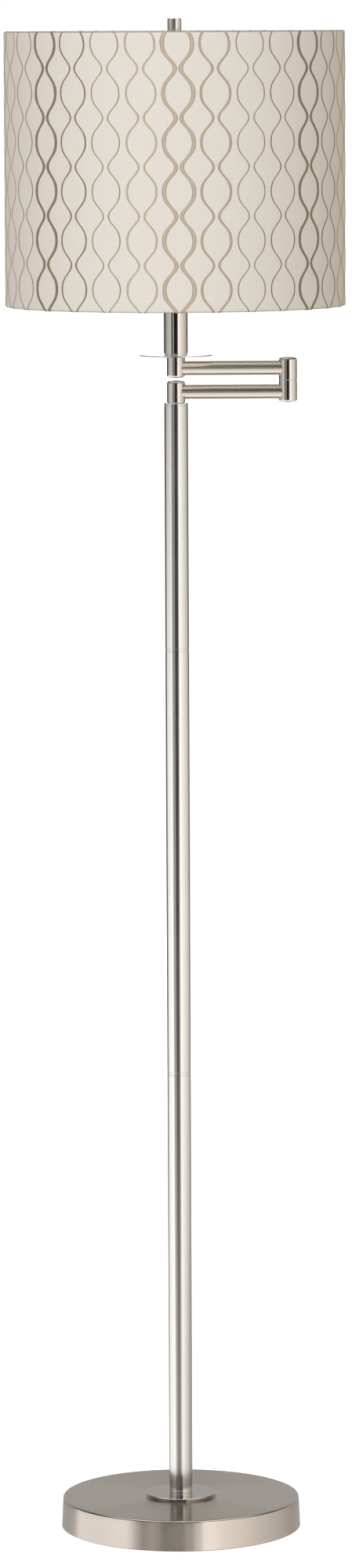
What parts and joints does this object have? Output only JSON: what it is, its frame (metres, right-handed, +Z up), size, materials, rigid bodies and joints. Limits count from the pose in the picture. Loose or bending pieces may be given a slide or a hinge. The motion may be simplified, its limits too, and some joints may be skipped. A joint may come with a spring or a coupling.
{
  "type": "adjustable arm floor lamp",
  "caption": "Floor lamp with a round weighted base, a straight tubular pole, a folding two-link swing arm and a drum shade with wavy embroidered lines.",
  "frame": {"origin": "on the floor, at the centre of the base's underside, on the pole's axis", "axes": "+Z up along the pole; +X from the pole's axis to the elbow with the arm folded; -Y to the front, where the switch knob points"},
  "size_m": [0.3556, 0.3556, 1.602],
  "materials": {
    "felt": "pressed felt",
    "brushed_nickel": "satin nickel plate, fine brushing",
    "polished_nickel": "polished nickel plate",
    "cast_iron": "as cast, dark",
    "plated_steel": "zinc or nickel plated",
    "nylon": "natural",
    "socket_metal": "bright nickel finish",
    "socket_card": "grey-brown card",
    "phenolic": "moulded black",
    "brass": "plain",
    "bulb_metal": "plain",
    "frosted_glass": "inside frosted white",
    "shade_liner": "white styrene sheet",
    "shade_linen": "off-white woven linen, embroidered",
    "lead_insulation": "clear-silver insulation"
  },
  "bodies": {
    "stand": {"foot_pad": "felt", "base_shell": "brushed_nickel", "base_weight": "cast_iron", "base_nut": "plated_steel", "base_nipple": "plated_steel", "disc_spacer": "polished_nickel", "base_disc": "polished_nickel", "cord_bush": "phenolic", "pole_foot_coupler": "brushed_nickel", "pole_tube_lower": "brushed_nickel", "pole_coupler_lower": "brushed_nickel", "pole_tube_middle": "brushed_nickel", "pole_coupler_upper": "brushed_nickel", "pole_tube_upper": "brushed_nickel", "pole_cap": "brushed_nickel", "pole_pivot_post": "plated_steel", "pole_pivot_washer": "nylon", "pole_pivot_spring_washer": "plated_steel", "pole_pivot_nut": "plated_steel", "lead_in_stand": "lead_insulation"},
    "lower_arm": {"lower_hub": "polished_nickel", "lower_hub_cap": "polished_nickel", "lower_arm_tube": "brushed_nickel", "elbow_lower_half": "polished_nickel", "elbow_lower_cap": "polished_nickel", "elbow_stud": "plated_steel", "elbow_washer": "nylon", "elbow_spring_washer": "plated_steel", "elbow_nuts": "plated_steel", "lead_in_lower_arm": "lead_insulation"},
    "upper_arm": {"elbow_upper_half": "polished_nickel", "elbow_upper_cap": "polished_nickel", "upper_arm_tube": "brushed_nickel", "upper_hub": "polished_nickel", "upper_hub_cap": "polished_nickel", "riser_disc": "polished_nickel", "riser_tube": "polished_nickel", "riser_lid": "polished_nickel", "riser_nipple": "plated_steel", "harp_saddle": "plated_steel", "socket_cap": "socket_metal", "socket_shell": "socket_metal", "socket_liner": "socket_card", "socket_body": "phenolic", "screw_shell": "brass", "centre_contact": "brass", "harp": "plated_steel", "harp_stud": "plated_steel", "bulb_glass": "frosted_glass", "bulb_cap": "bulb_metal", "lead_in_upper_arm": "lead_insulation"},
    "switch": {"switch_knob": "phenolic"},
    "left_sleeve": {"harp_sleeve_left": "plated_steel"},
    "right_sleeve": {"harp_sleeve_right": "plated_steel"},
    "shade": {"shade_spider": "plated_steel", "shade_top_ring": "plated_steel", "shade_bottom_ring": "plated_steel", "shade_liner": "shade_liner", "shade_fabric": "shade_linen"},
    "finial": {"finial": "polished_nickel"}
  },
  "joints": [
    {"name": "pole_swivel", "type": "hinge", "parent": "stand", "child": "lower_arm", "pos_m": [0, 0, 1.2032], "axis": [0, 0, 1], "range_deg": [-170, 170]},
    {"name": "elbow_swivel", "type": "hinge", "parent": "lower_arm", "child": "upper_arm", "pos_m": [0.1175, 0, 1.2267], "axis": [0, 0, 1], "range_deg": [-180, 180]},
    {"name": "switch_turn", "type": "hinge", "parent": "upper_arm", "child": "switch", "pos_m": [0, -0.03, 1.3716], "axis": [0, -1, 0], "continuous": true},
    {"name": "left_sleeve_lift", "type": "slide", "parent": "upper_arm", "child": "left_sleeve", "axis": [0, 0, 1], "range_m": [0, 0.012]},
    {"name": "right_sleeve_lift", "type": "slide", "parent": "upper_arm", "child": "right_sleeve", "axis": [0, 0, 1], "range_m": [0, 0.012]},
    {"name": "shade_turn", "type": "hinge", "parent": "upper_arm", "child": "shade", "pos_m": [0, 0, 1.5745], "axis": [0, 0, 1], "continuous": true},
    {"name": "finial_screw", "type": "hinge", "parent": "upper_arm", "child": "finial", "pos_m": [0, 0, 1.5875], "axis": [0, 0, 1], "continuous": true}
  ]
}
